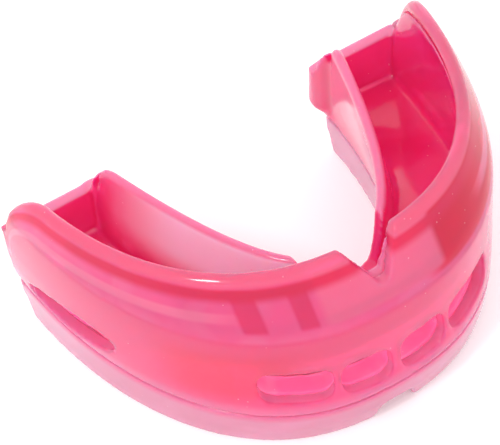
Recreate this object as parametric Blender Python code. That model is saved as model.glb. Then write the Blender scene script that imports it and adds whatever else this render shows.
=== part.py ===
"""Double mouthguard for boxing and martial arts: an upper and a lower trough moulded back to back.

Millimetres in the sizes below, metres in the scene. X runs across the mouth, -Y to the lips and +Z up.
The origin is under the middle of the guard, on the plane that its lower edge rests on.
"""
from math import acos, copysign, cos, pi, radians, sin, sqrt

import bmesh
import bpy
from mathutils import Vector

MM = 0.001

# The arch in plan is a superellipse that opens to the back, cut off square where the arms end.
LENGTH = 46.0
ARCH_CENTRE = 46.05
ARCH_P = 2.14
ARCH_Q = 2.38

# Outer surface: height, half width and how far the front lies behind the foremost point.
# The wall stands upright to a ridge at 22.6, and leans in above it.
OUTER_LEVELS = (
    (0.0, 31.7, 1.5),
    (3.0, 31.8, 0.6),
    (6.8, 32.0, 0.0),
    (10.0, 32.4, 0.3),
    (14.0, 32.7, 0.7),
    (18.0, 32.8, 0.6),
    (22.6, 32.7, 0.8),
    (25.5, 32.0, 2.6),
    (28.5, 30.9, 4.8),
    (30.0, 30.1, 5.9),
)
# Tongue side: the same, with how far its arms splay, from 0 for the arch to 1 for straight arms.
TONGUE_LEVELS = (
    (0.0, 18.5, 13.4, 0.0),
    (6.8, 18.2, 12.9, 0.0),
    (23.6, 18.9, 11.6, 1.0),
)
SPLAY_POWER = 0.45

# Layers, counted up from the lower edge and in from the outer surface.
GAP = 0.3
SEAM_Z = 6.8
RIM_Z = 30.0
RIM_BACK_Z = 27.4
RIM_BACK_Y = 35.0
RIM_END_Y = 44.3
RIM_THICK = 1.6
RIM_TAPER = 6.0
LEDGE_Z = 28.2
END_WALL_TOP = 17.3
END_WALL = 2.6
END_FLARE = 2.1
END_FLARE_Y = (41.8, 43.4)
END_FLARE_Z = (7.0, 10.5)
END_WALL_STEP = (LENGTH - END_WALL - 0.4, LENGTH - END_WALL)
SHELL = 1.9
LINER_IN = 3.4
FLOOR_FRONT_Z = 17.0
FLOOR_BACK_Z = 10.4
FLOOR = 1.5
TONGUE_WALL = 1.5
TONGUE_TOP_Z = 23.6
TONGUE_BACK_Y = 38.0
DRAFT = 0.3

# Lower tray.
TRAY_WALL = 3.2
TRAY_TONGUE_WALL = 2.8
TRAY_ROOF = 1.1
TRAY_END_Y = 45.0
TRAY_HEEL_Y = 43.6
TRAY_HEEL_Z = 3.2
TRAY_HEEL_RISE = 1.5

# Breathing ports, whose middles are given across the mouth and in height, and the chamber behind them.
PORT_MIDDLES = ((-13.8, 12.2), (-4.4, 11.5), (4.4, 11.5), (13.8, 12.2))
PORT_WIDTHS = (9.9, 7.3, 7.3, 9.9)
PORT_HEIGHT = 5.9
PORT_CORNER = 2.0
PORT_TILT = 0.08
PORT_CUT = (-3.0, 5.8)
CORE_IN = 5.0
CORE_SIDE_X = 20.5
CORE_TOP_Z = 15.2
EXIT_X = (0.9, 8.1)
EXIT_Z = (8.2, 14.0)
EXIT_CORNER = 1.4

# Side windows, where the molar cushions show.
WINDOW_X = (26.5, 38.0)
WINDOW_Y = (24.4, 42.2)
WINDOW_Z = (8.6, 14.4)
WINDOW_RISE = -2.4
WINDOW_TAPER = 0.42
WINDOW_LEAN = 0.22

# Notches at the front, for the lip and tongue frenula.
NOTCH_HALF = 4.2
NOTCH_Z = 25.0
NOTCH_ROOT = (1.0, 0.8)
NOTCH_FLARE = 0.9
TONGUE_NOTCH_HALF = 6.6
TONGUE_NOTCH_Z = 17.05
TONGUE_NOTCH_ROOT = (4.4, 1.3)
LOWER_NOTCH_HALF = 3.2
LOWER_NOTCH_TOP = 3.0

# Impact frame: two rails joined by ribs, let into the inner face of the shell.
FRAME_DEEP = (1.15, SHELL)
FRAME_CLEAR = 0.25
LOW_RAIL_Z = (21.8, 23.0)
HIGH_RAIL_Z = (26.3, 27.4)
RIB_X = (11.0, 17.2, 23.2)
RIB_MIDDLE_Z = 25.0
RIB_WIDTH = 1.8
RIB_SUNK = 0.12
FRAME_START_X = 9.0
FRAME_END_Y = 31.0

STATIONS = 20
STATION_GROWTH = 1.27


def arch(s, half_width, front, splay=0.0):
    """Plan position along the U, from the left arm's end at s = -1 to the right arm's at s = 1."""
    reach = ARCH_CENTRE - front
    turn = min(abs(s), 1.0) * acos(((ARCH_CENTRE - LENGTH) / reach) ** (ARCH_P / 2))
    y = ARCH_CENTRE - reach * cos(turn) ** (2 / ARCH_P)
    round_arch = sin(turn) ** (2 / ARCH_Q)
    straight_arms = (max(y - front, 0.0) / (LENGTH - front)) ** SPLAY_POWER
    x = half_width * (round_arch + (straight_arms - round_arch) * splay)
    return Vector((copysign(x, s), y))


def level(levels, z):
    """Half width, front and any splay of a surface at height z, between its two nearest levels."""
    z = min(max(z, levels[0][0]), levels[-1][0])
    for low, high in zip(levels, levels[1:]):
        if z <= high[0]:
            share = (z - low[0]) / (high[0] - low[0])
            return [a + (b - a) * share for a, b in zip(low[1:], high[1:])]


def surface(levels, s, z, depth=0.0):
    """Plan position on a surface, moved by depth towards the tongue."""
    sizes = level(levels, z)
    step = 0.004
    along = arch(s + step, *sizes) - arch(s - step, *sizes)
    along.normalize()
    return arch(s, *sizes) + Vector((-along.y, along.x)) * depth


def station_at_y(y):
    """The station on the right arm whose seam lies at y."""
    end = acos(((ARCH_CENTRE - LENGTH) / ARCH_CENTRE) ** (ARCH_P / 2))
    return acos(((ARCH_CENTRE - y) / ARCH_CENTRE) ** (ARCH_P / 2)) / end


def station_at_x(x, z):
    """The station whose outer surface lies at x, at height z, found by halving."""
    low, high = -1.0, 1.0
    for _ in range(30):
        middle = (low + high) / 2
        if surface(OUTER_LEVELS, middle, z).x < x:
            low = middle
        else:
            high = middle
    return low


def stations(first=-1.0, last=1.0, extra=()):
    """Stations from first to last: even steps across the front, longer ones along the arms."""
    even = [i / STATIONS for i in range(-STATIONS, STATIONS + 1)]
    spread = [copysign(abs(t) ** STATION_GROWTH, t) for t in even]
    fixed = [first, last, *extra]
    kept = [s for s in spread if first < s < last and min(abs(s - f) for f in fixed) > 0.012]
    return sorted(kept + fixed)


def arm_y(s):
    """Distance of a station behind the front, along the seam."""
    return arch(s, *level(OUTER_LEVELS, SEAM_Z)).y


def ease(share):
    share = min(max(share, 0.0), 1.0)
    return share * share * (3 - 2 * share)


def dome(share):
    """Quarter circle that falls from 1 to 0."""
    return sqrt(1 - min(max(share, 0.0), 1.0) ** 2)


def rim_z(s):
    """Top of the outer wall: it slopes down to the back, then rounds off into the end wall."""
    y = arm_y(s)
    slope = RIM_Z - (RIM_Z - RIM_BACK_Z) * min(y / RIM_BACK_Y, 1.0)
    if y <= RIM_BACK_Y:
        return slope
    return END_WALL_TOP + (slope - END_WALL_TOP) * dome((y - RIM_BACK_Y) / (RIM_END_Y - RIM_BACK_Y))


def tongue_top_z(s):
    """Top of the tongue side wall, which falls to the end wall behind the molars."""
    y = arm_y(s)
    fall = dome((y - TONGUE_BACK_Y) / (LENGTH - 2.5 - TONGUE_BACK_Y))
    low = END_WALL_TOP + GAP
    return low + (TONGUE_TOP_Z - low) * fall


def floor_z(s):
    """Trough floor: high over the breathing ports, low under the molars."""
    return FLOOR_FRONT_Z + (FLOOR_BACK_Z - FLOOR_FRONT_Z) * ease((arm_y(s) - 5.0) / 31.0)


def scaled(s, z):
    """Height that follows the falling rim: SEAM_Z stays, and RIM_Z becomes the rim's height."""
    return SEAM_Z + (z - SEAM_Z) * (rim_z(s) - SEAM_Z) / (RIM_Z - SEAM_Z)


def end_flare(s, z):
    """How far the end wall stands out past the tongue side wall, towards the tongue."""
    along = ease((arm_y(s) - END_FLARE_Y[0]) / (END_FLARE_Y[1] - END_FLARE_Y[0]))
    upward = ease((z - END_FLARE_Z[0]) / (END_FLARE_Z[1] - END_FLARE_Z[0]))
    return END_FLARE * along * upward


def wall_in(z):
    """Full thickness of the outer wall at a level, thinner towards its rim."""
    return RIM_THICK + (LINER_IN - RIM_THICK) * min((RIM_Z - z) / RIM_TAPER, 1.0) ** 0.8


def place(plan, z):
    return Vector((plan.x, plan.y - LENGTH / 2, z)) * MM


def outer(s, z, depth=0.0):
    """Point at height z, depth inside the outer surface."""
    return place(surface(OUTER_LEVELS, s, z, depth), z)


def tongue(s, z, depth=0.0):
    """Point at height z, depth inside the tongue side surface."""
    return place(surface(TONGUE_LEVELS, s, z, -depth), z)


def paint(piece, colour, roughness=0.2):
    material = bpy.data.materials.new(piece.name)
    material.use_nodes = True
    shader = material.node_tree.nodes["Principled BSDF"]
    shader.inputs["Base Color"].default_value = (*colour, 1.0)
    shader.inputs["Roughness"].default_value = roughness
    shader.inputs["Metallic"].default_value = 0.0
    piece.data.materials.append(material)


def loft(name, rings, colour=None, flat_ends=()):
    """Closed solid through rings of equal length; flat_ends levels the end rings at a given y."""
    for ring, end in zip((rings[0], rings[-1]), flat_ends):
        for point in ring:
            point.y = (end - LENGTH / 2) * MM
    mesh = bpy.data.meshes.new(name)
    bm = bmesh.new()
    rows = [[bm.verts.new(point) for point in ring] for ring in rings]
    size = len(rings[0])
    for row, following in zip(rows, rows[1:]):
        for i in range(size):
            j = (i + 1) % size
            bm.faces.new((row[i], row[j], following[j], following[i]))
    bm.faces.new(rows[0])
    bm.faces.new(rows[-1])
    bmesh.ops.recalc_face_normals(bm, faces=bm.faces)
    bm.to_mesh(mesh)
    bm.free()
    piece = bpy.data.objects.new(name, mesh)
    bpy.context.scene.collection.objects.link(piece)
    if colour is None:
        piece.hide_render = True
        piece.display_type = "WIRE"
    else:
        paint(piece, colour)
    return piece


def finish(piece, crease=35.0):
    piece.data.shade_smooth()
    piece.data.set_sharp_from_angle(angle=radians(crease))


def combine(piece, other, operation="DIFFERENCE"):
    modifier = piece.modifiers.new(other.name, "BOOLEAN")
    modifier.operation = operation
    modifier.solver = "EXACT"
    modifier.object = other


def prism(name, outline, origin, along, up, start, end):
    """Cutter: an outline of (side, height) points pushed from start to end along its third axis."""
    side = up.cross(along)
    rings = []
    for distance in (start, end):
        rings.append([(origin + side * a + up * b + along * distance) * MM for a, b in outline])
    return loft(name, rings)


def rounded_slot(width, height, corner, steps=3):
    """Rectangle with round corners, centred on zero."""
    points = []
    for quarter in range(4):
        centre = Vector((width / 2 - corner, height / 2 - corner))
        centre.x *= 1 if quarter in (0, 3) else -1
        centre.y *= 1 if quarter in (0, 1) else -1
        for i in range(steps + 1):
            angle = (quarter + i / steps) * pi / 2
            points.append((centre.x + corner * cos(angle), centre.y + corner * sin(angle)))
    return points


def port_cutters(suffix, grow):
    """The four breathing ports, square to the outer surface, their row rising a little to the sides."""
    cutters = []
    for number, ((x, z), width) in enumerate(zip(PORT_MIDDLES, PORT_WIDTHS), 1):
        s = station_at_x(x, z)
        on_wall = surface(OUTER_LEVELS, s, z)
        inward = (surface(OUTER_LEVELS, s, z, 1.0) - on_wall).to_3d()
        origin = Vector((on_wall.x, on_wall.y - LENGTH / 2, z))
        up = Vector((0, 0, 1))
        rise = copysign(PORT_TILT, x)
        slot = rounded_slot(width + grow, PORT_HEIGHT + grow, PORT_CORNER)
        outline = [(a, b - rise * a) for a, b in slot]
        cutters.append(prism(f"port_{number}_{suffix}", outline, origin, inward, up, *PORT_CUT))
    return cutters


def window_cutter(side):
    """Side window: round at its front end, and drawn out to a point at the back."""
    length = WINDOW_Y[1] - WINDOW_Y[0]
    height = WINDOW_Z[1] - WINDOW_Z[0]
    points = []
    for i in range(16):
        angle = 2 * pi * i / 16
        back = (1 - cos(angle)) / 2
        rise = sin(angle) * height / 2 * (1 - WINDOW_TAPER * back) + WINDOW_RISE * back
        points.append((side * (back - 0.5) * length, rise))
    lean = Vector((side, -WINDOW_LEAN, 0)).normalized()
    origin = Vector((side * WINDOW_X[0], sum(WINDOW_Y) / 2 - LENGTH / 2, sum(WINDOW_Z) / 2))
    name = "window_cutter_left" if side < 0 else "window_cutter_right"
    return prism(name, points, origin, lean, Vector((0, 0, 1)), 0.0, WINDOW_X[1] - WINDOW_X[0])


def notch_cutter(name, half, root, corner, bottom, top, y_from, y_to):
    """Notch cut along Y: flared sides, and a root of half width root with round corners."""
    outline = [(-half - NOTCH_FLARE, top), (-half, top - 2.0)]
    for side, first in ((-1, 200), (1, 270)):
        for i in range(3):
            angle = radians(first + 35 * i)
            across = side * (root - corner) + corner * cos(angle)
            outline.append((across, bottom + corner + corner * sin(angle)))
    outline += [(half, top - 2.0), (half + NOTCH_FLARE, top)]
    origin = Vector((0, -LENGTH / 2, 0))
    return prism(name, outline, origin, Vector((0, 1, 0)), Vector((0, 0, 1)), y_from, y_to)


def bar(name, ring_stations, low, high, grow=0.0, sunk=0.0):
    """A bar of the frame, or with grow the groove it lies in, between two heights that follow the rim."""
    outside = FRAME_DEEP[0] - grow + sunk
    inside = FRAME_DEEP[1] + (1.0 - sunk if grow else 0.0)
    rings = []
    for s in ring_stations:
        lower, upper = low - grow, high + grow
        corners = ((lower, outside), (upper, outside), (upper, inside), (lower, inside))
        rings.append([outer(s, scaled(s, z), depth) for z, depth in corners])
    return loft(name, rings)


def frame_solid(kind, grow=0.0):
    """Rails and ribs of the impact frame joined into one solid, or with grow the groove they lie in."""
    spread = grow / 40.0
    end = station_at_y(FRAME_END_Y)
    start = station_at_x(FRAME_START_X, HIGH_RAIL_Z[0])
    solid = bar(kind, stations(-end - spread, end + spread), *LOW_RAIL_Z, grow)
    for side, label in ((-1, "left"), (1, "right")):
        ends = sorted((side * (start - spread), side * (end + spread)))
        bars = [bar(f"{kind}_high_rail_{label}", stations(*ends), *HIGH_RAIL_Z, grow)]
        for number, x in enumerate(RIB_X, 1):
            half = RIB_WIDTH / 2 + grow
            edges = sorted(station_at_x(side * edge, RIB_MIDDLE_Z) for edge in (x - half, x + half))
            height = (LOW_RAIL_Z[0] + 0.4, HIGH_RAIL_Z[1] - 0.4)
            bars.append(bar(f"{kind}_rib_{label}_{number}", edges, *height, grow, RIB_SUNK))
        for extra in bars:
            combine(solid, extra, "UNION")
    return solid


def back_stations():
    """Stations of the whole arch, closer where the rims fall to the end walls."""
    marks = [station_at_y(y) for y in (36.5, 38.5, 40.3, 41.8, *END_WALL_STEP, 44.5, 45.3)]
    return stations(extra=[side * mark for side in (-1, 1) for mark in marks])


def outer_shell():
    """Firm outer wall from the seam to the rim, with the ports, windows, lip notch and frame grooves."""
    rings = []
    for s in back_stations():
        ring = [outer(s, scaled(s, z)) for z, _, _ in OUTER_LEVELS[2:]]
        ring.append(outer(s, scaled(s, RIM_Z) + 0.1, wall_in(RIM_Z) / 2))
        for z in (RIM_Z - 0.5, LEDGE_Z):
            ring.append(outer(s, scaled(s, z), wall_in(z)))
        ring.append(outer(s, scaled(s, LEDGE_Z), SHELL))
        ring += [outer(s, scaled(s, z), SHELL) for z, _, _ in reversed(OUTER_LEVELS[2:8])]
        rings.append(ring)
    shell = loft("outer_shell", rings, (0.86, 0.13, 0.30), (LENGTH, LENGTH))
    for cutter in port_cutters("shell", 0.0):
        combine(shell, cutter)
    for side in (-1, 1):
        combine(shell, window_cutter(side))
    notch_top = RIM_Z + 2.0
    combine(shell, notch_cutter("lip_notch", NOTCH_HALF, *NOTCH_ROOT, NOTCH_Z, notch_top, -3.0, 9.5))
    combine(shell, frame_solid("frame_groove", FRAME_CLEAR))
    finish(shell)


def impact_frame():
    """Stiffer frame of two rails and their ribs, moulded into the shell's inner face."""
    frame = frame_solid("impact_frame")
    frame.hide_render = False
    frame.display_type = "TEXTURED"
    paint(frame, (0.84, 0.04, 0.22), 0.3)
    finish(frame)


def upper_liner():
    """Soft trough for the upper teeth: cheek wall, floor, tongue wall with its skirt, and end walls."""
    top_level = LEDGE_Z - 0.45
    end_wall = station_at_y(END_WALL_STEP[1]) - 0.0005
    rings = []
    for s in back_stations():
        closed = abs(s) > end_wall
        floor = END_WALL_TOP if closed else floor_z(s)
        under = SEAM_Z + GAP if closed else floor_z(s) - FLOOR
        top = scaled(s, top_level)
        ring = [outer(s, under + (top - under) * share, SHELL + GAP) for share in (0.0, 0.3, 0.65, 1.0)]
        ring.append(outer(s, top, wall_in(top_level) + GAP))
        ring.append(outer(s, (floor + top) / 2, LINER_IN + GAP + DRAFT / 2))
        ring.append(outer(s, floor, LINER_IN + GAP + DRAFT))
        crest = tongue_top_z(s)
        ring.append(tongue(s, floor, TONGUE_WALL + DRAFT))
        ring.append(tongue(s, max(crest - 0.8, floor + 0.1), TONGUE_WALL))
        ring.append(tongue(s, crest, TONGUE_WALL * 0.6))
        ring.append(tongue(s, crest, TONGUE_WALL * 0.3))
        for z in (crest - 0.9, END_FLARE_Z[1], SEAM_Z + GAP):
            ring.append(tongue(s, z, -end_flare(s, z)))
        ring.append(tongue(s, SEAM_Z + GAP, TONGUE_WALL))
        ring.append(tongue(s, under, TONGUE_WALL + DRAFT))
        rings.append(ring)
    liner = loft("upper_liner", rings, (0.80, 0.03, 0.16), (LENGTH, LENGTH))
    front = (NOTCH_HALF + GAP, *NOTCH_ROOT, NOTCH_Z - GAP, RIM_Z + 2.0, -3.0, 8.0)
    back = (TONGUE_NOTCH_HALF, *TONGUE_NOTCH_ROOT, TONGUE_NOTCH_Z, TONGUE_TOP_Z + 2.0, 8.0, 20.0)
    combine(liner, notch_cutter("liner_lip_notch", *front))
    combine(liner, notch_cutter("tongue_notch", *back))
    for side in (-1, 1):
        outline = rounded_slot(EXIT_X[1] - EXIT_X[0], EXIT_Z[1] - EXIT_Z[0], EXIT_CORNER)
        origin = Vector((side * sum(EXIT_X) / 2, -LENGTH / 2, sum(EXIT_Z) / 2))
        name = "exit_left" if side < 0 else "exit_right"
        combine(liner, prism(name, outline, origin, Vector((0, 1, 0)), Vector((0, 0, 1)), 7.0, 20.0))
    finish(liner)


def airway_core():
    """Stiff rail behind the ports that keeps them open under a bite."""
    end = station_at_x(CORE_SIDE_X, 10.0)
    low = SEAM_Z + GAP
    rings = []
    for s in stations(-end, end):
        top = min(CORE_TOP_Z, floor_z(s) - FLOOR - GAP)
        ring = [outer(s, z, SHELL + GAP) for z in (low, 10.0, top)]
        ring += [outer(s, z, CORE_IN) for z in (top, 10.0, low)]
        rings.append(ring)
    core = loft("airway_core", rings, (0.86, 0.08, 0.30))
    for cutter in port_cutters("core", 0.3):
        combine(core, cutter)
    finish(core)


def molar_cushion(side):
    """Thick cushion under the back teeth, between the trough floor and the lower tray."""
    start = station_at_x(CORE_SIDE_X, 10.0) + 0.02
    end = station_at_y(LENGTH - END_WALL - 1.2)
    low = SEAM_Z + GAP
    rings = []
    for s in stations(*sorted((side * start, side * end))):
        top = floor_z(s) - FLOOR - GAP
        ring = [outer(s, z, SHELL + GAP) for z in (low, (low + top) / 2, top)]
        ring += [tongue(s, z, TONGUE_WALL + DRAFT + GAP) for z in (top, low)]
        rings.append(ring)
    cushion = loft("molar_cushion_" + ("left" if side < 0 else "right"), rings, (0.78, 0.02, 0.24))
    finish(cushion)


def lower_tray():
    """Paler trough for the lower teeth, open downwards, with a raised heel at each arm's end."""
    heel = station_at_y(TRAY_HEEL_Y)
    after = station_at_y(TRAY_HEEL_Y + 0.3)
    last = station_at_y(TRAY_END_Y)
    wall_from = station_at_y(TRAY_HEEL_Y - END_WALL)
    wall_edge = station_at_y(TRAY_HEEL_Y - END_WALL - 0.4)
    marks = (wall_edge, wall_from, heel, after)
    rings = []
    for s in stations(-last, last, [side * m for side in (-1, 1) for m in marks]):
        y = arm_y(s)
        bottom = 0.0
        if abs(s) > heel + 0.0005:
            bottom = TRAY_HEEL_Z + TRAY_HEEL_RISE * (y - TRAY_HEEL_Y) / (TRAY_END_Y - TRAY_HEEL_Y)
        top = SEAM_Z - GAP
        filled = abs(s) > wall_from - 0.0005
        roof = bottom if filled else top - TRAY_ROOF
        ring = [outer(s, bottom), outer(s, max(3.0, bottom + 0.3)), outer(s, top)]
        ring.append(tongue(s, top))
        ring.append(tongue(s, bottom))
        ring.append(tongue(s, bottom, TRAY_TONGUE_WALL))
        ring.append(tongue(s, roof, TRAY_TONGUE_WALL + DRAFT))
        ring.append(outer(s, roof, TRAY_WALL + DRAFT))
        ring.append(outer(s, bottom, TRAY_WALL))
        rings.append(ring)
    tray = loft("lower_tray", rings, (0.90, 0.38, 0.58), (TRAY_END_Y, TRAY_END_Y))
    outline = [(-LOWER_NOTCH_HALF, -1.0), (-LOWER_NOTCH_HALF + 0.6, LOWER_NOTCH_TOP - 0.9)]
    outline += [(-LOWER_NOTCH_HALF + 1.5, LOWER_NOTCH_TOP), (LOWER_NOTCH_HALF - 1.5, LOWER_NOTCH_TOP)]
    outline += [(LOWER_NOTCH_HALF - 0.6, LOWER_NOTCH_TOP - 0.9), (LOWER_NOTCH_HALF, -1.0)]
    origin = Vector((0, -LENGTH / 2, 0))
    combine(tray, prism("lower_notch", outline, origin, Vector((0, 1, 0)), Vector((0, 0, 1)), -3.0, 6.5))
    finish(tray)


for old in list(bpy.data.objects):
    bpy.data.objects.remove(old, do_unlink=True)

lower_tray()
airway_core()
for arm in (-1, 1):
    molar_cushion(arm)
upper_liner()
outer_shell()
impact_frame()
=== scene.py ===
from math import acos, copysign, cos, pi, radians, sin, sqrt

import bpy
import numpy as np
from mathutils import Matrix, Vector


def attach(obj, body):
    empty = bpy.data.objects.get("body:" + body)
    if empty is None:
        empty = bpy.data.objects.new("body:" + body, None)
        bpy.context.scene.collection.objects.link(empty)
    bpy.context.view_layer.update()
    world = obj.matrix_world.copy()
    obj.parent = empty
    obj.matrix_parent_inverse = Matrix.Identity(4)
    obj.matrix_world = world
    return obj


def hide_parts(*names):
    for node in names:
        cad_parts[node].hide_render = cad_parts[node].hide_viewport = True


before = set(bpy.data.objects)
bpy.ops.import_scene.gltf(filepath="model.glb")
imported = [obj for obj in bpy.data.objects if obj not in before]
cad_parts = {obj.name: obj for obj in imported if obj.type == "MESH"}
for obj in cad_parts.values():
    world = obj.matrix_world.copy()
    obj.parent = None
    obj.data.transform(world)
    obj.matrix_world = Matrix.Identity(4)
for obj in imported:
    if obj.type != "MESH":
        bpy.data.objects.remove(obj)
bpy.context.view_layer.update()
MM = 0.001

# ---------------------------------------------------------------------------------------------
# Stage and light: a white light table under a white tent, so that light comes through the
# silicone from all round, with one softbox for its gloss. The camera looks down on the ports.
# ---------------------------------------------------------------------------------------------

FLOOR_SIZE = 3.0
FLOOR_GLOW = 0.15
TENT_GLOW = 1.22
SOFTBOX_PLACE = (-0.30, -0.10, 0.42)
SOFTBOX_SIZE = 0.07
SOFTBOX_POWER = 0.6
CAMERA_TURN = radians(-29.95)
CAMERA_RISE = radians(50.39)
CAMERA_ROLL = radians(-4.62)
CAMERA_AWAY = 0.38193
AIM = Vector((0, 2.0, 12.0)) * MM
LENS = 204.53
SHIFT = (-0.0867, 0.0302)


def add_camera():
    """Camera on a sphere round the aim point, rolled a little to its right."""
    back = Vector((
        sin(CAMERA_TURN) * cos(CAMERA_RISE),
        -cos(CAMERA_TURN) * cos(CAMERA_RISE),
        sin(CAMERA_RISE),
    ))
    right = Vector((cos(CAMERA_TURN), sin(CAMERA_TURN), 0))
    up = back.cross(right)
    axes = Matrix((
        right * cos(CAMERA_ROLL) + up * sin(CAMERA_ROLL),
        up * cos(CAMERA_ROLL) - right * sin(CAMERA_ROLL),
        back,
    )).transposed()
    data = bpy.data.cameras.new("camera")
    camera = bpy.data.objects.new("camera", data)
    bpy.context.scene.collection.objects.link(camera)
    camera.matrix_world = Matrix.Translation(AIM + back * CAMERA_AWAY) @ axes.to_4x4()
    data.lens = LENS
    data.shift_x, data.shift_y = SHIFT
    data.clip_start = 0.01
    bpy.context.scene.camera = camera


def add_light_table():
    bpy.ops.object.select_all(action="DESELECT")
    bpy.ops.mesh.primitive_plane_add(size=FLOOR_SIZE, location=(0, 0, 0))
    floor = bpy.context.object
    floor.name = "floor"
    material = bpy.data.materials.new("opal_light_table")
    material.use_nodes = True
    shader = material.node_tree.nodes["Principled BSDF"]
    shader.inputs["Base Color"].default_value = (0.9, 0.9, 0.9, 1)
    shader.inputs["Roughness"].default_value = 0.9
    shader.inputs["Emission Color"].default_value = (1, 1, 1, 1)
    shader.inputs["Emission Strength"].default_value = FLOOR_GLOW
    floor.data.materials.append(material)


def add_softbox(name, place, size, power):
    data = bpy.data.lights.new(name, "AREA")
    data.energy = power
    data.size = size
    light = bpy.data.objects.new(name, data)
    bpy.context.scene.collection.objects.link(light)
    light.location = place
    light.rotation_euler = (AIM - Vector(place)).to_track_quat("-Z", "Y").to_euler()


world = bpy.data.worlds.new("white_tent")
world.use_nodes = True
world.node_tree.nodes["Background"].inputs["Color"].default_value = (1, 1, 1, 1)
world.node_tree.nodes["Background"].inputs["Strength"].default_value = TENT_GLOW
bpy.context.scene.world = world
bpy.context.scene.view_settings.view_transform = "Standard"
add_camera()
add_light_table()
add_softbox("left_softbox", SOFTBOX_PLACE, SOFTBOX_SIZE, SOFTBOX_POWER)

# ---------------------------------------------------------------------------------------------
# Lower tray: the palest layer, a U-shaped trough for the lower teeth that is open downwards.
# Cast in milky pink silicone with a raised heel at each end and a small notch under the lip.
# ---------------------------------------------------------------------------------------------

LENGTH = 46.0
ARCH_CENTRE = 46.05
ARCH_P = 2.14
ARCH_Q = 2.38
SPLAY_POWER = 0.45
OUTER_LEVELS = (
    (0.0, 31.7, 1.5),
    (3.0, 31.8, 0.6),
    (6.8, 32.0, 0.0),
    (10.0, 32.4, 0.3),
    (14.0, 32.7, 0.7),
    (18.0, 32.8, 0.6),
    (21.6, 32.8, 0.6),
    (23.4, 32.5, 1.3),
    (25.5, 31.9, 2.8),
    (28.5, 30.8, 5.0),
    (30.0, 30.1, 6.1),
)
TONGUE_LEVELS = (
    (0.0, 18.5, 13.4, 0.0),
    (6.8, 18.2, 12.9, 0.0),
    (23.6, 18.9, 11.6, 1.0),
)
SEAM_Z = 6.8
RIM_Z = 30.0
RIM_BACK_Z = 27.4
RIM_BACK_Y = 35.0
RIM_END_Y = 44.3
END_WALL = 2.6
END_WALL_TOP = 17.3
STATIONS = 96
STATION_EASE = 1.2
TANGENT_STEP = 0.004


def arch(s, half_width, front, splay=0.0):
    """Plan position along the U, from one arm's end at s = -1 to the other's at s = 1."""
    reach = ARCH_CENTRE - front
    turn = min(abs(s), 1.0) * acos(((ARCH_CENTRE - LENGTH) / reach) ** (ARCH_P / 2))
    y = ARCH_CENTRE - reach * cos(turn) ** (2 / ARCH_P)
    round_arch = sin(turn) ** (2 / ARCH_Q)
    straight_arms = (max(y - front, 0.0) / (LENGTH - front)) ** SPLAY_POWER
    x = half_width * (round_arch + (straight_arms - round_arch) * splay)
    return Vector((copysign(x, s), y))


def level(levels, z):
    """Sizes of a surface at a height, between its two nearest levels."""
    heights = [row[0] for row in levels]
    return [float(np.interp(z, heights, column)) for column in list(zip(*levels))[1:]]


def surface(levels, s, z, depth=0.0):
    """Plan position on a wall's surface, moved by depth towards the tongue."""
    sizes = level(levels, z)
    along = arch(s + TANGENT_STEP, *sizes) - arch(s - TANGENT_STEP, *sizes)
    along.normalize()
    return arch(s, *sizes) + Vector((-along.y, along.x)) * depth


def place(plan, z):
    """Point in metres, with the middle of the guard's length at the origin."""
    return Vector((plan.x, plan.y - LENGTH / 2, z)) * MM


def outer(s, z, depth=0.0):
    """Point at height z inside the lip and cheek surface."""
    return place(surface(OUTER_LEVELS, s, z, depth), z)


def tongue(s, z, depth=0.0):
    """Point at height z inside the surface that the tongue touches."""
    return place(surface(TONGUE_LEVELS, s, z, -depth), z)


def arm_y(s):
    """How far behind the front a station lies, along the seam."""
    return arch(s, *level(OUTER_LEVELS, SEAM_Z)).y


def station(y):
    """The station on the +X arm that lies y behind the front."""
    end = acos(((ARCH_CENTRE - LENGTH) / ARCH_CENTRE) ** (ARCH_P / 2))
    return acos(((ARCH_CENTRE - y) / ARCH_CENTRE) ** (ARCH_P / 2)) / end


def spread(first, last, count=STATIONS):
    """Stations from first to last, closer round the front, where the arch bends most."""
    a, b = (copysign(abs(s) ** (1 / STATION_EASE), s) for s in (first, last))
    return [copysign(abs(t) ** STATION_EASE, t) for t in np.linspace(a, b, 2 * count + 1)]


def run(low, high, count):
    """Even steps from low to high, both included."""
    return list(np.linspace(low, high, count))


def rim_at(y):
    """Top of the outer wall y behind the front: it slopes down, then rounds off into the end wall."""
    slope = RIM_Z - (RIM_Z - RIM_BACK_Z) * np.clip(y / RIM_BACK_Y, 0, 1)
    fall = np.sqrt(1 - np.clip((y - RIM_BACK_Y) / (RIM_END_Y - RIM_BACK_Y), 0, 1) ** 2)
    return np.where(y <= RIM_BACK_Y, slope, END_WALL_TOP + (slope - END_WALL_TOP) * fall)


def modifier(piece, kind, **values):
    """Adds a modifier, sets it and applies it."""
    bpy.ops.object.select_all(action="DESELECT")
    piece.select_set(True)
    bpy.context.view_layer.objects.active = piece
    added = piece.modifiers.new(kind.lower(), kind)
    for key, value in values.items():
        setattr(added, key, value)
    bpy.ops.object.modifier_apply(modifier=added.name)


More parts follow.
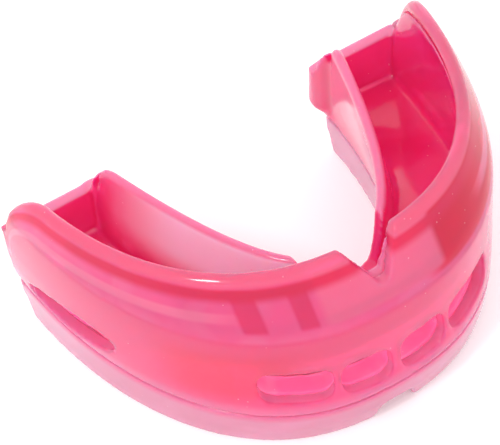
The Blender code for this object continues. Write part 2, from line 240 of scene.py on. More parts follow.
def sweep(name, places, section, end_y=None):
    """Closed body whose section, a ring of points, is carried along the arch.

    A grid is laid out with a row for each station, its vertices are moved onto the sections, its long
    edges are merged and its two ends are filled. With end_y both ends are trimmed level there.
    """
    rings = [section(s) for s in places]
    size = len(rings[0])
    bpy.ops.object.select_all(action="DESELECT")
    bpy.ops.mesh.primitive_grid_add(x_subdivisions=size, y_subdivisions=len(rings) - 1)
    piece = bpy.context.object
    piece.name = piece.data.name = name
    points = np.array([[*ring, ring[0]] for ring in rings])
    if end_y is not None:
        points[[0, -1], :, 1] = (end_y - LENGTH / 2) * MM
    piece.data.vertices.foreach_set("co", points.reshape(-1).astype(np.float32))
    bpy.ops.object.mode_set(mode="EDIT")
    bpy.ops.mesh.select_all(action="SELECT")
    bpy.ops.mesh.remove_doubles(threshold=1e-6)
    bpy.ops.mesh.select_all(action="DESELECT")
    bpy.ops.mesh.select_non_manifold()
    bpy.ops.mesh.fill()
    bpy.ops.mesh.select_all(action="SELECT")
    bpy.ops.mesh.normals_make_consistent(inside=False)
    bpy.ops.object.mode_set(mode="OBJECT")
    return piece


def cut(piece, cutter):
    """Takes the cutter's shape out of the piece, and throws the cutter away."""
    modifier(piece, "BOOLEAN", operation="DIFFERENCE", solver="EXACT", object=cutter)
    bpy.data.objects.remove(cutter)


def prism(name, outline, origin, along, start, end):
    """Cutter: an outline of (side, height) points pushed from start to end along a level line."""
    up = Vector((0, 0, 1))
    side = up.cross(along)
    count = len(outline)
    bpy.ops.object.select_all(action="DESELECT")
    bpy.ops.mesh.primitive_cylinder_add(vertices=count, end_fill_type="NGON")
    cutter = bpy.context.object
    cutter.name = name
    for vertex in cutter.data.vertices:
        a, b = outline[vertex.index // 2]
        far = end if vertex.co.z > 0 else start
        vertex.co = (origin + side * a + up * b + along * far) * MM
    bpy.ops.object.mode_set(mode="EDIT")
    bpy.ops.mesh.select_all(action="SELECT")
    bpy.ops.mesh.normals_make_consistent(inside=False)
    bpy.ops.object.mode_set(mode="OBJECT")
    return cutter


def soften(piece, voxel=0.25, passes=8):
    """Rounds every edge a little, as silicone leaves a polished mould."""
    modifier(piece, "REMESH", mode="VOXEL", voxel_size=voxel * MM)
    modifier(piece, "SMOOTH", factor=0.5, iterations=passes)
    bpy.ops.object.shade_smooth()


def survey(piece):
    """Stores where each point lies on the guard, in millimetres, for the tints to follow.

    depth is measured in from the lip and cheek surface, and facing is 1 where the surface looks out
    to the lips and cheeks and -1 where it looks in to the tongue.
    """
    count = len(piece.data.vertices)
    co = np.empty(count * 3, np.float32)
    normal = np.empty(count * 3, np.float32)
    piece.data.vertices.foreach_get("co", co)
    piece.data.vertices.foreach_get("normal", normal)
    co, normal = co.reshape(-1, 3) / MM, normal.reshape(-1, 3)
    across, back, height = co[:, 0], np.minimum(co[:, 1] + LENGTH / 2, LENGTH), co[:, 2]
    rim = rim_at(back)
    heights, halves, fronts = np.array(OUTER_LEVELS).T
    half, front = np.interp(height, heights, halves), np.interp(height, heights, fronts)
    side = np.maximum(np.abs(across) / half, 1e-4)
    ahead = np.maximum((ARCH_CENTRE - back) / (ARCH_CENTRE - front), 1e-4)
    gone = side ** ARCH_Q + ahead ** ARCH_P - 1
    slope_x = ARCH_Q * side ** (ARCH_Q - 1) / half * np.sign(across)
    slope_y = -ARCH_P * ahead ** (ARCH_P - 1) / (ARCH_CENTRE - front)
    steep = np.maximum(np.hypot(slope_x, slope_y), 1e-6)
    facts = {
        "across": np.abs(across),
        "side": across,
        "back": back,
        "height": height,
        "below_rim": rim - height,
        "depth": -gone / steep,
        "facing": (normal[:, 0] * slope_x + normal[:, 1] * slope_y) / steep,
        "upward": normal[:, 2],
    }
    for name, values in facts.items():
        stored = piece.data.attributes.new(name, "FLOAT", "POINT")
        stored.data.foreach_set("value", values.astype(np.float32))


def seat(piece, slot, *nodes):
    """The piece belongs to the one body, and stands for its plain solids."""
    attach(piece, "root")
    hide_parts(*nodes)


def ink(red, green, blue):
    """Screen colour, 0 to 255, as linear light."""
    return (*(((v / 255 + 0.055) / 1.055) ** 2.4 if v > 10 else v / 3294.6 for v in (red, green, blue)), 1.0)


def socket(tree, name, kind, way, value=None):
    """Adds an input or output to a node group."""
    made = tree.interface.new_socket(name, in_out=way, socket_type=kind)
    if value is not None:
        made.default_value = value


def node(tree, kind, **values):
    """Adds a node; names with a capital are its input sockets, the others its settings."""
    made = tree.nodes.new(kind)
    for key, value in values.items():
        if key[0].islower():
            setattr(made, key, value)
        else:
            made.inputs[key.replace("_", " ")].default_value = value
    return made


def milk_cloud():
    """Milky silicone is never mixed evenly: slow clouds of a second colour drift through the first."""
    tree = bpy.data.node_groups.new("milk_cloud", "ShaderNodeTree")
    socket(tree, "Colour", "NodeSocketColor", "INPUT")
    socket(tree, "Cloud Colour", "NodeSocketColor", "INPUT")
    socket(tree, "Scale", "NodeSocketFloat", "INPUT", 150.0)
    socket(tree, "Share", "NodeSocketFloat", "INPUT", 0.5)
    socket(tree, "Colour", "NodeSocketColor", "OUTPUT")
    given = node(tree, "NodeGroupInput")
    put_out = node(tree, "NodeGroupOutput")
    where = node(tree, "ShaderNodeTexCoord")
    noise = node(tree, "ShaderNodeTexNoise", Detail=2.0, Roughness=0.45, Distortion=0.6)
    clouds = node(tree, "ShaderNodeMapRange", interpolation_type="SMOOTHSTEP")
    clouds.inputs["From Min"].default_value = 0.42
    clouds.inputs["From Max"].default_value = 0.68
    share = node(tree, "ShaderNodeMath", operation="MULTIPLY")
    blend = node(tree, "ShaderNodeMix", data_type="RGBA")
    link = tree.links.new
    link(where.outputs["Object"], noise.inputs["Vector"])
    link(given.outputs["Scale"], noise.inputs["Scale"])
    link(noise.outputs["Fac"], clouds.inputs["Value"])
    link(clouds.outputs["Result"], share.inputs[0])
    link(given.outputs["Share"], share.inputs[1])
    link(share.outputs[0], blend.inputs["Factor"])
    link(given.outputs["Colour"], blend.inputs["A"])
    link(given.outputs["Cloud Colour"], blend.inputs["B"])
    link(blend.outputs["Result"], put_out.inputs["Colour"])
    return tree


BUBBLE_RARITY = 0.82


def bubbles():
    """Pin-prick air bubbles and dust in the cast silicone, as a mask."""
    tree = bpy.data.node_groups.new("bubbles", "ShaderNodeTree")
    socket(tree, "Scale", "NodeSocketFloat", "INPUT", 1200.0)
    socket(tree, "Size", "NodeSocketFloat", "INPUT", 0.13)
    socket(tree, "Mask", "NodeSocketFloat", "OUTPUT")
    given = node(tree, "NodeGroupInput")
    put_out = node(tree, "NodeGroupOutput")
    where = node(tree, "ShaderNodeTexCoord")
    cells = node(tree, "ShaderNodeTexVoronoi", Randomness=1.0)
    patches = node(tree, "ShaderNodeTexNoise", Scale=140.0, Detail=1.0)
    crowd = node(tree, "ShaderNodeMapRange", From_Min=0.5, From_Max=0.62)
    dot = node(tree, "ShaderNodeMath", operation="LESS_THAN")
    rare = node(tree, "ShaderNodeMath", operation="GREATER_THAN")
    rare.inputs[1].default_value = BUBBLE_RARITY
    pick = node(tree, "ShaderNodeSeparateColor")
    chosen = node(tree, "ShaderNodeMath", operation="MULTIPLY")
    final = node(tree, "ShaderNodeMath", operation="MULTIPLY")
    link = tree.links.new
    link(where.outputs["Object"], cells.inputs["Vector"])
    link(where.outputs["Object"], patches.inputs["Vector"])
    link(given.outputs["Scale"], cells.inputs["Scale"])
    link(cells.outputs["Distance"], dot.inputs[0])
    link(given.outputs["Size"], dot.inputs[1])
    link(cells.outputs["Color"], pick.inputs[0])
    link(pick.outputs[0], rare.inputs[0])
    link(patches.outputs["Fac"], crowd.inputs["Value"])
    link(dot.outputs[0], chosen.inputs[0])
    link(rare.outputs[0], chosen.inputs[1])
    link(chosen.outputs[0], final.inputs[0])
    link(crowd.outputs["Result"], final.inputs[1])
    link(final.outputs[0], put_out.inputs["Mask"])
    return tree


def moulded_polish():
    """Gloss of a polished mould: slow ripples in the surface, and patches where it is a little duller."""
    tree = bpy.data.node_groups.new("moulded_polish", "ShaderNodeTree")
    socket(tree, "Roughness", "NodeSocketFloat", "INPUT", 0.12)
    socket(tree, "Ripple", "NodeSocketFloat", "INPUT", 0.15)
    socket(tree, "Pits", "NodeSocketFloat", "INPUT", 0.0)
    socket(tree, "Roughness", "NodeSocketFloat", "OUTPUT")
    socket(tree, "Normal", "NodeSocketVector", "OUTPUT")
    given = node(tree, "NodeGroupInput")
    put_out = node(tree, "NodeGroupOutput")
    where = node(tree, "ShaderNodeTexCoord")
    smear = node(tree, "ShaderNodeTexNoise", Scale=260.0, Detail=3.0)
    dull = node(tree, "ShaderNodeMapRange", From_Min=0.35, From_Max=0.75, To_Min=0.8, To_Max=1.7)
    rough = node(tree, "ShaderNodeMath", operation="MULTIPLY")
    ripple = node(tree, "ShaderNodeTexNoise", Scale=120.0, Detail=2.0, Distortion=0.8)
    height = node(tree, "ShaderNodeMath", operation="SUBTRACT")
    bump = node(tree, "ShaderNodeBump", Distance=0.0006)
    link = tree.links.new
    link(where.outputs["Object"], smear.inputs["Vector"])
    link(where.outputs["Object"], ripple.inputs["Vector"])
    link(smear.outputs["Fac"], dull.inputs["Value"])
    link(dull.outputs["Result"], rough.inputs[0])
    link(given.outputs["Roughness"], rough.inputs[1])
    link(ripple.outputs["Fac"], height.inputs[0])
    link(given.outputs["Pits"], height.inputs[1])
    link(height.outputs[0], bump.inputs["Height"])
    link(given.outputs["Ripple"], bump.inputs["Strength"])
    link(rough.outputs[0], put_out.inputs["Roughness"])
    link(bump.outputs["Normal"], put_out.inputs["Normal"])
    return tree


CLOUD, BUBBLES, POLISH = milk_cloud(), bubbles(), moulded_polish()
SPECK = ink(255, 190, 212)
CLOUD_SHARE = 0.5
SILICONE_IOR = 1.41
SCATTER_REACH = (1.0, 0.35, 0.5)
SCATTER_DEPTH = 3.0


def tinted(tree, colour, tints):
    """Lays each tint over the colour so far, where all of its (fact, from, to) ranges hold."""
    link = tree.links.new
    for tint, *ranges in tints:
        mask = None
        for fact, start, end in ranges:
            read = node(tree, "ShaderNodeAttribute", attribute_name=fact)
            ramp = node(tree, "ShaderNodeMapRange", interpolation_type="SMOOTHSTEP")
            ramp.inputs["From Min"].default_value = start
            ramp.inputs["From Max"].default_value = end
            link(read.outputs["Fac"], ramp.inputs["Value"])
            if mask is None:
                mask = ramp.outputs["Result"]
                continue
            both = node(tree, "ShaderNodeMath", operation="MULTIPLY")
            link(mask, both.inputs[0])
            link(ramp.outputs["Result"], both.inputs[1])
            mask = both.outputs[0]
        blend = node(tree, "ShaderNodeMix", data_type="RGBA", B=tint)
        link(mask, blend.inputs["Factor"])
        link(colour, blend.inputs["A"])
        colour = blend.outputs["Result"]
    return colour


def silicone(name, colour, cloud, tints=(), clear=0.0, glow=0.0, rough=0.1, scale=150.0):
    """Milky translucent silicone: light scatters inside it, and clear is the share that goes through.

    glow stands for the light that reaches a piece through the layers round it.
    """
    material = bpy.data.materials.new(name)
    material.use_nodes = True
    tree = material.node_tree
    link = tree.links.new
    shader = tree.nodes["Principled BSDF"]
    mix = node(tree, "ShaderNodeGroup", node_tree=CLOUD, Colour=colour, Cloud_Colour=cloud, Scale=scale)
    mix.inputs["Share"].default_value = CLOUD_SHARE
    specks = node(tree, "ShaderNodeGroup", node_tree=BUBBLES)
    polish = node(tree, "ShaderNodeGroup", node_tree=POLISH, Roughness=rough)
    top = node(tree, "ShaderNodeMix", data_type="RGBA", B=SPECK)
    link(specks.outputs["Mask"], top.inputs["Factor"])
    link(tinted(tree, mix.outputs["Colour"], tints), top.inputs["A"])
    link(top.outputs["Result"], shader.inputs["Base Color"])
    link(top.outputs["Result"], shader.inputs["Emission Color"])
    shader.inputs["Emission Strength"].default_value = glow
    link(specks.outputs["Mask"], polish.inputs["Pits"])
    link(polish.outputs["Roughness"], shader.inputs["Roughness"])
    link(polish.outputs["Normal"], shader.inputs["Normal"])
    shader.inputs["IOR"].default_value = SILICONE_IOR
    shader.inputs["Transmission Weight"].default_value = clear
    shader.inputs["Subsurface Weight"].default_value = 1.0
    shader.inputs["Subsurface Radius"].default_value = SCATTER_REACH
    shader.inputs["Subsurface Scale"].default_value = SCATTER_DEPTH * MM
    shader.inputs["Coat Weight"].default_value = 0.15
    shader.inputs["Coat Roughness"].default_value = 0.04
    return material


def coat(piece, material):
    """Gives the piece this one material."""
    piece.data.materials.clear()
    piece.data.materials.append(material)


TRAY_WALL = 3.2
TRAY_TONGUE_WALL = 2.8
TRAY_TOP = 6.65
TRAY_ROOF_Z = 5.4
TRAY_HEEL_Y = 43.6
TRAY_END_Y = 45.0
TRAY_HEEL_Z = 3.2
TRAY_VOXEL = 0.26
LOWER_NOTCH = ((-3.2, -1.0), (-2.6, 2.1), (-1.7, 3.0), (1.7, 3.0), (2.6, 2.1), (3.2, -1.0))
PALE_PINK = ink(228, 150, 180)
PALE_CLOUD = ink(236, 158, 192)
# Painted light: the back of the tray is made lighter and lilac, to lift the shade that the floor casts on
# it.
LILAC_PAINTED_LIGHT = ink(232, 168, 196)
SEAM_SHADE = ink(240, 118, 162)


def ease(share):
    """Smooth step from 0 to 1."""
    share = min(max(share, 0.0), 1.0)
    return share * share * (3 - 2 * share)


def tray_section(s):
    """Section of the tray: outer wall, tongue wall and the trough between them, closed at the heel."""
    y = arm_y(s)
    bottom = TRAY_HEEL_Z * ease((y - TRAY_HEEL_Y + 0.6) / 0.8) + 0.5 * max(y - TRAY_HEEL_Y, 0.0)
    roof = TRAY_ROOF_Z if y < TRAY_HEEL_Y - END_WALL else bottom
    ring = [outer(s, z) for z in run(bottom, TRAY_TOP, 9)]
    ring += [tongue(s, z) for z in run(TRAY_TOP, bottom, 9)]
    ring += [tongue(s, z, TRAY_TONGUE_WALL) for z in run(bottom, roof, 6)]
    return ring + [outer(s, z, TRAY_WALL) for z in run(roof, bottom, 6)]


FRONT = Vector((0, -LENGTH / 2, 0))
BACKWARDS = Vector((0, 1, 0))
tray_end = station(TRAY_END_Y)
tray = sweep("lower_tray_moulding", spread(-tray_end, tray_end), tray_section, TRAY_END_Y)
cut(tray, prism("lower_notch", LOWER_NOTCH, FRONT, BACKWARDS, start=-3.0, end=6.5))
soften(tray, TRAY_VOXEL)
survey(tray)
coat(tray, silicone("pale_pink_silicone", PALE_PINK, PALE_CLOUD, (
    # Painted light: lighter lilac over the back of the tray.
    (LILAC_PAINTED_LIGHT, ("back", 22, 40)),
    (SEAM_SHADE, ("height", 5.0, 6.4), ("facing", 0.0, 0.6)),
), clear=0.45, glow=0.06))
seat(tray, "tray_silicone", "lower_tray")

# ---------------------------------------------------------------------------------------------
# Airway rail: the stiffer curved bar behind the four breathing ports, with a port of its own
# behind each. It is moulded first and the lining is cast over it, so the ports stay open.
# ---------------------------------------------------------------------------------------------

GAP = 0.3
SHELL = 1.9
FLOOR_FRONT_Z = 17.0
FLOOR_BACK_Z = 10.4
FLOOR_FALL_Y = 5.0
FLOOR_FALL_LENGTH = 31.0
FLOOR = 1.5
RAIL_TOP_Z = 15.2
RAIL_IN = 5.0
RAIL_SIDE_X = 20.5
PORT_MIDDLES = ((-13.8, 12.2), (-4.4, 11.5), (4.4, 11.5), (13.8, 12.2))
PORT_WIDTHS = (9.9, 7.3, 7.3, 9.9)
PORT_HEIGHT = 5.9
PORT_CORNER = 2.0
PORT_RISE = 0.08
RAIL_CLEARANCE = 0.3
RAIL_VOXEL = 0.2
RAIL_PINK = ink(255, 120, 172)
RAIL_CLOUD = ink(255, 165, 200)


def floor_z(s):
    """Floor of the upper trough: high over the ports, low under the molars."""
    fallen = ease((arm_y(s) - FLOOR_FALL_Y) / FLOOR_FALL_LENGTH)
    return FLOOR_FRONT_Z + (FLOOR_BACK_Z - FLOOR_FRONT_Z) * fallen


def rim_z(s):
    """Top of the outer wall at a station."""
    return float(rim_at(arm_y(s)))


def station_at_x(x, z):
    """The station whose outer surface lies at x, found by halving."""
    low, high = -1.0, 1.0
    for _ in range(30):
        middle = (low + high) / 2
        if surface(OUTER_LEVELS, middle, z).x < x:
            low = middle
        else:
            high = middle
    return low


def slot_outline(width, height, corner, tilt=0.0, steps=6):
    """Rectangle with round corners, whose long sides slope by tilt."""
    points = []
    for quarter in range(4):
        x = (width / 2 - corner) * (1 if quarter in (0, 3) else -1)
        z = (height / 2 - corner) * (1 if quarter in (0, 1) else -1)
        for i in range(steps + 1):
            angle = (quarter + i / steps) * pi / 2
            across = x + corner * cos(angle)
            points.append((across, z + corner * sin(angle) - tilt * across))
    return points


def cut_ports(piece, grow=0.0):
    """The four ports, square to the outer surface, their row rising a little to the sides."""
    for (x, z), width in zip(PORT_MIDDLES, PORT_WIDTHS):
        s = station_at_x(x, z)
        on_wall = surface(OUTER_LEVELS, s, z)
        inward = (surface(OUTER_LEVELS, s, z, 1.0) - on_wall).to_3d()
        origin = Vector((on_wall.x, on_wall.y - LENGTH / 2, z))
        outline = slot_outline(width + grow, PORT_HEIGHT + grow, PORT_CORNER, copysign(PORT_RISE, x))
        cut(piece, prism("port", outline, origin, inward, start=-3.0, end=5.8))


def rail_section(s):
    """Section of the rail, which fits under the trough's floor."""
    top = min(RAIL_TOP_Z, floor_z(s) - FLOOR - GAP)
    ring = [outer(s, z, SHELL + GAP / 2) for z in run(SEAM_Z + GAP, top, 8)]
    return ring + [outer(s, z, RAIL_IN) for z in run(top, SEAM_Z + GAP, 8)]


rail_end = station_at_x(RAIL_SIDE_X, 10.0)
rail = sweep("airway_rail", spread(-rail_end, rail_end), rail_section)
cut_ports(rail, RAIL_CLEARANCE)
soften(rail, RAIL_VOXEL)
coat(rail, silicone("stiff_pink_silicone", RAIL_PINK, RAIL_CLOUD, clear=0.6, glow=0.3))
seat(rail, "core_silicone", "airway_core")

# ---------------------------------------------------------------------------------------------
# Molar gels: a thick cushion of soft deep magenta gel in each arm, between the trough's floor
# and the lower tray. They are cast in place, and the side windows show them.
# ---------------------------------------------------------------------------------------------

TONGUE_WALL = 1.5
WINDOW_MIDDLE_Y = 33.3
WINDOW_MIDDLE_Z = 11.5
GEL_BULGE = 1.2
GEL_BULGE_HALF = (8.2, 2.4)
GEL_BULGE_FALL = 1.2
GEL_CLEAR_OF_RAIL = 0.02
GEL_CLEAR_OF_END = 1.2
GEL_CLEAR_OF_TONGUE_WALL = 0.6
GEL_PINK = ink(255, 84, 148)
GEL_CLOUD = ink(255, 124, 178)


def gel_bulge(s, z):
    """How far the gel swells out into the side window, whose middle line falls to the back."""
    along = (arm_y(s) - WINDOW_MIDDLE_Y) / GEL_BULGE_HALF[0]
    upward = (z - WINDOW_MIDDLE_Z + GEL_BULGE_FALL * (along + 1)) / GEL_BULGE_HALF[1]
    return GEL_BULGE * sqrt(max(1 - along ** 2 - upward ** 2, 0.0))


def gel_section(s):
    """Section of a gel, from the tray to the trough's floor and from wall to wall."""
    top = floor_z(s) - FLOOR - GAP
    low = SEAM_Z + GAP
    ring = [outer(s, z, SHELL + GAP - gel_bulge(s, z)) for z in run(low, top, 24)]
    return ring + [tongue(s, z, TONGUE_WALL + GEL_CLEAR_OF_TONGUE_WALL) for z in run(top, low, 6)]


deep_gel = silicone("deep_magenta_gel", GEL_PINK, GEL_CLOUD, clear=0.3, glow=0.22, rough=0.08)
for side, label in ((-1, "left"), (1, "right")):
    near = rail_end + GEL_CLEAR_OF_RAIL
    far = station(LENGTH - END_WALL - GEL_CLEAR_OF_END)
    ends = sorted((side * near, side * far))
    gel = sweep("molar_gel_" + label, spread(*ends, count=40), gel_section)
    soften(gel)
    coat(gel, deep_gel)
    seat(gel, "cushion_silicone", "molar_cushion_" + label)

# ---------------------------------------------------------------------------------------------
# Upper trough lining: the soft magenta channel that is bitten to shape on the upper teeth. It has
# a thin tongue wall that drops behind the front teeth, and an end wall across each arm.
# ---------------------------------------------------------------------------------------------

RIM_THICK = 1.6
RIM_TAPER = 6.0
LEDGE_Z = 28.2
WALL = 3.4
TONGUE_TOP_Z = 23.6
TONGUE_BACK_Y = 38.0
END_FLARE = 2.1
END_FLARE_Y = (41.8, 43.4)
END_FLARE_Z = (7.0, 10.5)
LINING_TOP = LEDGE_Z - 0.25
LINING_VOXEL = 0.34
LIP_NOTCH_HALF = 4.2
LIP_NOTCH_ROOT_Z = 25.0
TONGUE_NOTCH_HALF = 6.6
TONGUE_NOTCH_ROOT_Z = 17.05
EXIT_MIDDLE = (4.5, 11.1)
EXIT_SIZE = (7.2, 5.8, 1.4)
END_SLIT = ((41.7, 26.0), (42.35, 15.6), (42.75, 15.6), (43.4, 26.0))
END_SLIT_X = (14.0, 20.5)
MAGENTA = ink(240, 58, 134)
MAGENTA_CLOUD = ink(232, 26, 104)
TONGUE_SIDE_CORAL = ink(244, 136, 172)
# Painted light: near white on the thin tongue wall of the -X arm, for light coming through it from behind.
TONGUE_WALL_BACKLIGHT = ink(248, 222, 238)
# Painted light: the upward faces of the end wall are lighter, as lit from above.
END_WALL_TOP_LIT = ink(246, 150, 190)
# Painted highlight: lighter pink on the upward faces of the tongue wall's crest.
CREST_HIGHLIGHT = ink(246, 130, 172)


def tongue_top_z(s):
    """Top of the tongue wall, which rounds down to the end wall."""
    low = END_WALL_TOP + GAP
    share = min(max((arm_y(s) - TONGUE_BACK_Y) / (LENGTH - 2.5 - TONGUE_BACK_Y), 0.0), 1.0)
    return low + (TONGUE_TOP_Z - low) * sqrt(1 - share ** 2)


def end_flare(s, z):
    """How far the end wall stands out past the tongue wall, towards the tongue."""
    along = ease((arm_y(s) - END_FLARE_Y[0]) / (END_FLARE_Y[1] - END_FLARE_Y[0]))
    return END_FLARE * along * ease((z - END_FLARE_Z[0]) / (END_FLARE_Z[1] - END_FLARE_Z[0]))


def at_level(s, z, depth=0.0):
    """Point in the outer wall at a height that follows the falling rim."""
    return outer(s, SEAM_Z + (z - SEAM_Z) * (rim_z(s) - SEAM_Z) / (RIM_Z - SEAM_Z), depth)


def wall_in(z):
    """Full thickness of the outer wall at a level, thinner towards its rim."""
    return RIM_THICK + (WALL - RIM_THICK) * min((RIM_Z - z) / RIM_TAPER, 1.0) ** 0.8


def lining_section(s):
    """Section of the lining, which is solid from tray to top where the end wall closes it."""
    closed = arm_y(s) > LENGTH - END_WALL
    floor = END_WALL_TOP if closed else floor_z(s)
    under = SEAM_Z + GAP if closed else floor_z(s) - FLOOR
    top = SEAM_Z + (LINING_TOP - SEAM_Z) * (rim_z(s) - SEAM_Z) / (RIM_Z - SEAM_Z)
    crest = tongue_top_z(s)
    thin = wall_in(LINING_TOP)
    ring = [outer(s, z, SHELL + GAP / 2) for z in run(under, top, 10)]
    ring += [outer(s, z, thin + (WALL + 0.4 - thin) * min((top - z) / 4, 1)) for z in run(top, floor, 10)]
    shoulder = max(crest - 0.5, floor + 0.1)
    ring += [tongue(s, z, TONGUE_WALL + 0.03 * (crest - z)) for z in run(floor, shoulder, 8)]
    ring += [tongue(s, crest, TONGUE_WALL * 0.66), tongue(s, crest, TONGUE_WALL * 0.33)]
    ring += [tongue(s, z, -end_flare(s, z)) for z in run(crest - 0.6, SEAM_Z + GAP / 2, 12)]
    return ring + [tongue(s, z, TONGUE_WALL) for z in run(SEAM_Z + GAP / 2, under, 5)]


def notch_outline(half, root, corner, bottom, top, steps=6):
    """Notch with flared sides and a root of half width root with round corners."""
    outline = [(-half - 0.9, top), (-half, top - 2.0)]
    for side, first in ((-1, 200), (1, 270)):
        for i in range(steps):
            angle = radians(first + 70 * i / (steps - 1))
            across = side * (root - corner) + corner * cos(angle)
            outline.append((across, bottom + corner + corner * sin(angle)))
    return outline + [(half, top - 2.0), (half + 0.9, top)]


lining = sweep("upper_trough_lining", spread(-1, 1), lining_section, LENGTH)
lip_outline = notch_outline(LIP_NOTCH_HALF, root=1.0, corner=0.8, bottom=LIP_NOTCH_ROOT_Z - 0.1, top=32.0)
cut(lining, prism("lip_cut", lip_outline, FRONT, BACKWARDS, start=-3.0, end=9.5))
tongue_outline = notch_outline(TONGUE_NOTCH_HALF, root=4.4, corner=1.3, bottom=TONGUE_NOTCH_ROOT_Z, top=25.3)
cut(lining, prism("tongue_cut", tongue_outline, FRONT, BACKWARDS, start=8.0, end=20.0))
for side in (-1, 1):
    middle = FRONT + Vector((side * EXIT_MIDDLE[0], 0, EXIT_MIDDLE[1]))
    cut(lining, prism("exit_cut", slot_outline(*EXIT_SIZE), middle, BACKWARDS, start=7.0, end=20.0))
    reach = sorted(side * x for x in END_SLIT_X)
    cut(lining, prism("end_slit", END_SLIT, FRONT, Vector((1, 0, 0)), *reach))
soften(lining, LINING_VOXEL, passes=6)
survey(lining)
coat(lining, silicone("magenta_silicone", MAGENTA, MAGENTA_CLOUD, (
    (TONGUE_SIDE_CORAL, ("depth", 8.0, 11.0), ("facing", -0.2, -0.7), ("height", 7.0, 12.0)),
    # Painted light: the thin tongue wall of the -X arm, lit through from behind.
    (
        TONGUE_WALL_BACKLIGHT, ("side", 2.0, -4.0), ("depth", 8.0, 11.0), ("facing", 0.0, 0.5),
        ("height", 12.0, 18.0), ("back", 43.0, 27.0),
    ),
    # Painted light on the upward faces of the end wall.
    (END_WALL_TOP_LIT, ("upward", 0.5, 0.9), ("back", 42.5, 43.6)),
    # Painted highlight along the tongue wall's crest.
    (CREST_HIGHLIGHT, ("upward", 0.3, 0.8), ("height", 20.0, 22.5)),
), clear=0.4, glow=0.05, scale=90.0))
seat(lining, "liner_silicone", "upper_liner")

# ---------------------------------------------------------------------------------------------
# Outer wall: the firm clear pink skin round the lips and cheeks. It stands upright to a ridge,
# leans in above it, and is bonded to the lining; the ports, windows and lip notch are cut in it.
# ---------------------------------------------------------------------------------------------

WINDOW_LENGTH = 17.8
WINDOW_HALF_HEIGHT = 2.9
WINDOW_NARROWING = 0.36
WINDOW_FALL = 2.7
WINDOW_CUT_X = 26.5
WINDOW_LEAN = -0.22
WALL_VOXEL = 0.28
WALL_PINK = ink(248, 104, 168)
WALL_CLOUD = ink(250, 136, 184)
# Painted shade: deep crimson above the ridge on the +X arm, where the flange is seen at a grazing angle.
RIGHT_FLANGE_SHADE = ink(228, 8, 84)
LOWER_PINK = ink(240, 92, 150)
LOWER_ROSE = ink(242, 74, 122)
FOOT_PINK = ink(244, 140, 186)
# Painted light: the cut faces inside the ports and windows are lighter, like light caught on their rounded
# edges.
CUT_FACE_LIGHT = ink(255, 150, 192)
# Painted light: a light streak 3.5 to 5 mm below the rim, where the lining's top edge shows through the
# wall.
RIM_LIGHT_STREAK = ink(252, 140, 182)
LIP_PINK = ink(248, 130, 174)
RIB = ink(238, 62, 132)
BEAD_SHADE = ink(232, 36, 104)
# Painted highlight: the last half millimetre of the rim is lighter.
RIM_HIGHLIGHT = ink(248, 124, 164)
# Painted light: the thin end tip of the +X arm is whitish pale.
RIGHT_TIP_LIGHT = ink(246, 170, 198)


def cut_window(piece, side, steps=40):
    """Side window: round at its front end, lower and narrower at the back."""
    points = []
    for i in range(steps):
        angle = 2 * pi * i / steps
        back = (1 - cos(angle)) / 2
        rise = sin(angle) * WINDOW_HALF_HEIGHT * (1 - WINDOW_NARROWING * back) - WINDOW_FALL * back
        points.append((side * (back - 0.5) * WINDOW_LENGTH, rise))
    lean = Vector((side, WINDOW_LEAN, 0)).normalized()
    origin = Vector((side * WINDOW_CUT_X, WINDOW_MIDDLE_Y - LENGTH / 2, WINDOW_MIDDLE_Z))
    cut(piece, prism("window", points, origin, lean, start=0.0, end=11.5))


def wall_section(s):
    """Section of the outer wall: its outside, its rim, the full thickness to the ledge, the thin skin."""
    ring = [at_level(s, z) for z in run(SEAM_Z, RIM_Z - 0.4, 30)]
    ring += [at_level(s, RIM_Z + 0.1, RIM_THICK * share) for share in (0.3, 0.7)]
    ring += [at_level(s, z, wall_in(z)) for z in run(RIM_Z - 0.5, LEDGE_Z, 10)]
    return ring + [at_level(s, z, SHELL) for z in run(LEDGE_Z, SEAM_Z, 20)]


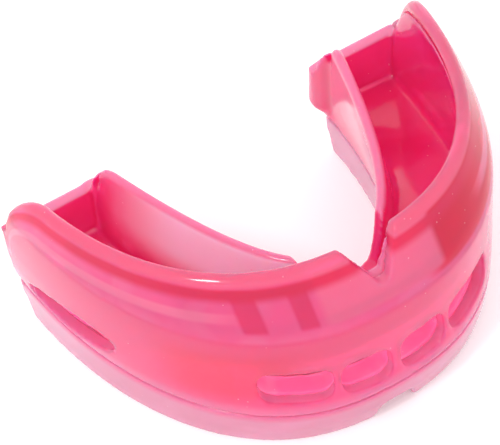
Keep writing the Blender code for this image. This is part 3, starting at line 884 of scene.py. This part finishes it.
wall = sweep("outer_wall", spread(-1, 1), wall_section, LENGTH)
cut_ports(wall)
for side in (-1, 1):
    cut_window(wall, side)
lip_outline = notch_outline(LIP_NOTCH_HALF, root=1.0, corner=0.8, bottom=LIP_NOTCH_ROOT_Z, top=32.0)
cut(wall, prism("lip_cut", lip_outline, FRONT, BACKWARDS, start=-3.0, end=9.5))
soften(wall, WALL_VOXEL)
survey(wall)
RIB_RANGES = (("side", 1.0, -1.0), ("height", 23.0, 23.8), ("height", 28.6, 28.0))
coat(wall, silicone("clear_pink_silicone", WALL_PINK, WALL_CLOUD, (
    # Painted shade: darker crimson above the ridge, on the +X arm only.
    (RIGHT_FLANGE_SHADE, ("side", 5.0, 9.5), ("height", 22.2, 22.8)),
    (LOWER_PINK, ("height", 7.5, 10.0), ("height", 22.4, 21.6)),
    (
        LOWER_ROSE, ("side", 4.0, -6.0), ("back", 1.0, 5.0), ("back", 19.0, 12.0),
        ("height", 8.0, 12.0), ("height", 21.0, 17.0),
    ),
    (FOOT_PINK, ("height", 9.4, 7.2)),
    # Painted light on the cut faces of the ports and windows.
    (CUT_FACE_LIGHT, ("depth", 0.25, 0.6), ("height", 17.5, 16.5)),
    # Painted light streak below the rim.
    (RIM_LIGHT_STREAK, ("below_rim", 3.4, 3.9), ("below_rim", 5.2, 4.6), ("back", 7.0, 12.0)),
    (LIP_PINK, ("across", 9.6, 8.2), ("height", 22.9, 23.6)),
    (RIB, ("across", 15.6, 16.2), ("across", 18.8, 18.2), *RIB_RANGES),
    (RIB, ("across", 9.6, 10.2), ("across", 12.6, 12.0), *RIB_RANGES),
    (BEAD_SHADE, ("below_rim", 0.5, 1.1), ("below_rim", 2.8, 1.6)),
    # Painted highlight along the rim's edge.
    (RIM_HIGHLIGHT, ("below_rim", 0.8, 0.3)),
    # Painted light on the thin end tip of the +X arm.
    (RIGHT_TIP_LIGHT, ("side", 18.0, 24.0), ("back", 41.0, 45.0), ("height", 14.0, 18.0)),
), clear=0.62, glow=0.05))
seat(wall, "shell_silicone", "outer_shell")

# ---------------------------------------------------------------------------------------------
# Impact frame: two rails joined by ribs, of a tougher magenta elastomer. It is laid in grooves
# in the outer wall's inner face before the lining is cast, and shows faintly through the wall.
# ---------------------------------------------------------------------------------------------

FRAME_MAGENTA = ink(236, 44, 118)
FRAME_CLOUD = ink(245, 78, 145)
coat(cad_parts["impact_frame"], silicone("tough_magenta", FRAME_MAGENTA, FRAME_CLOUD, rough=0.3))
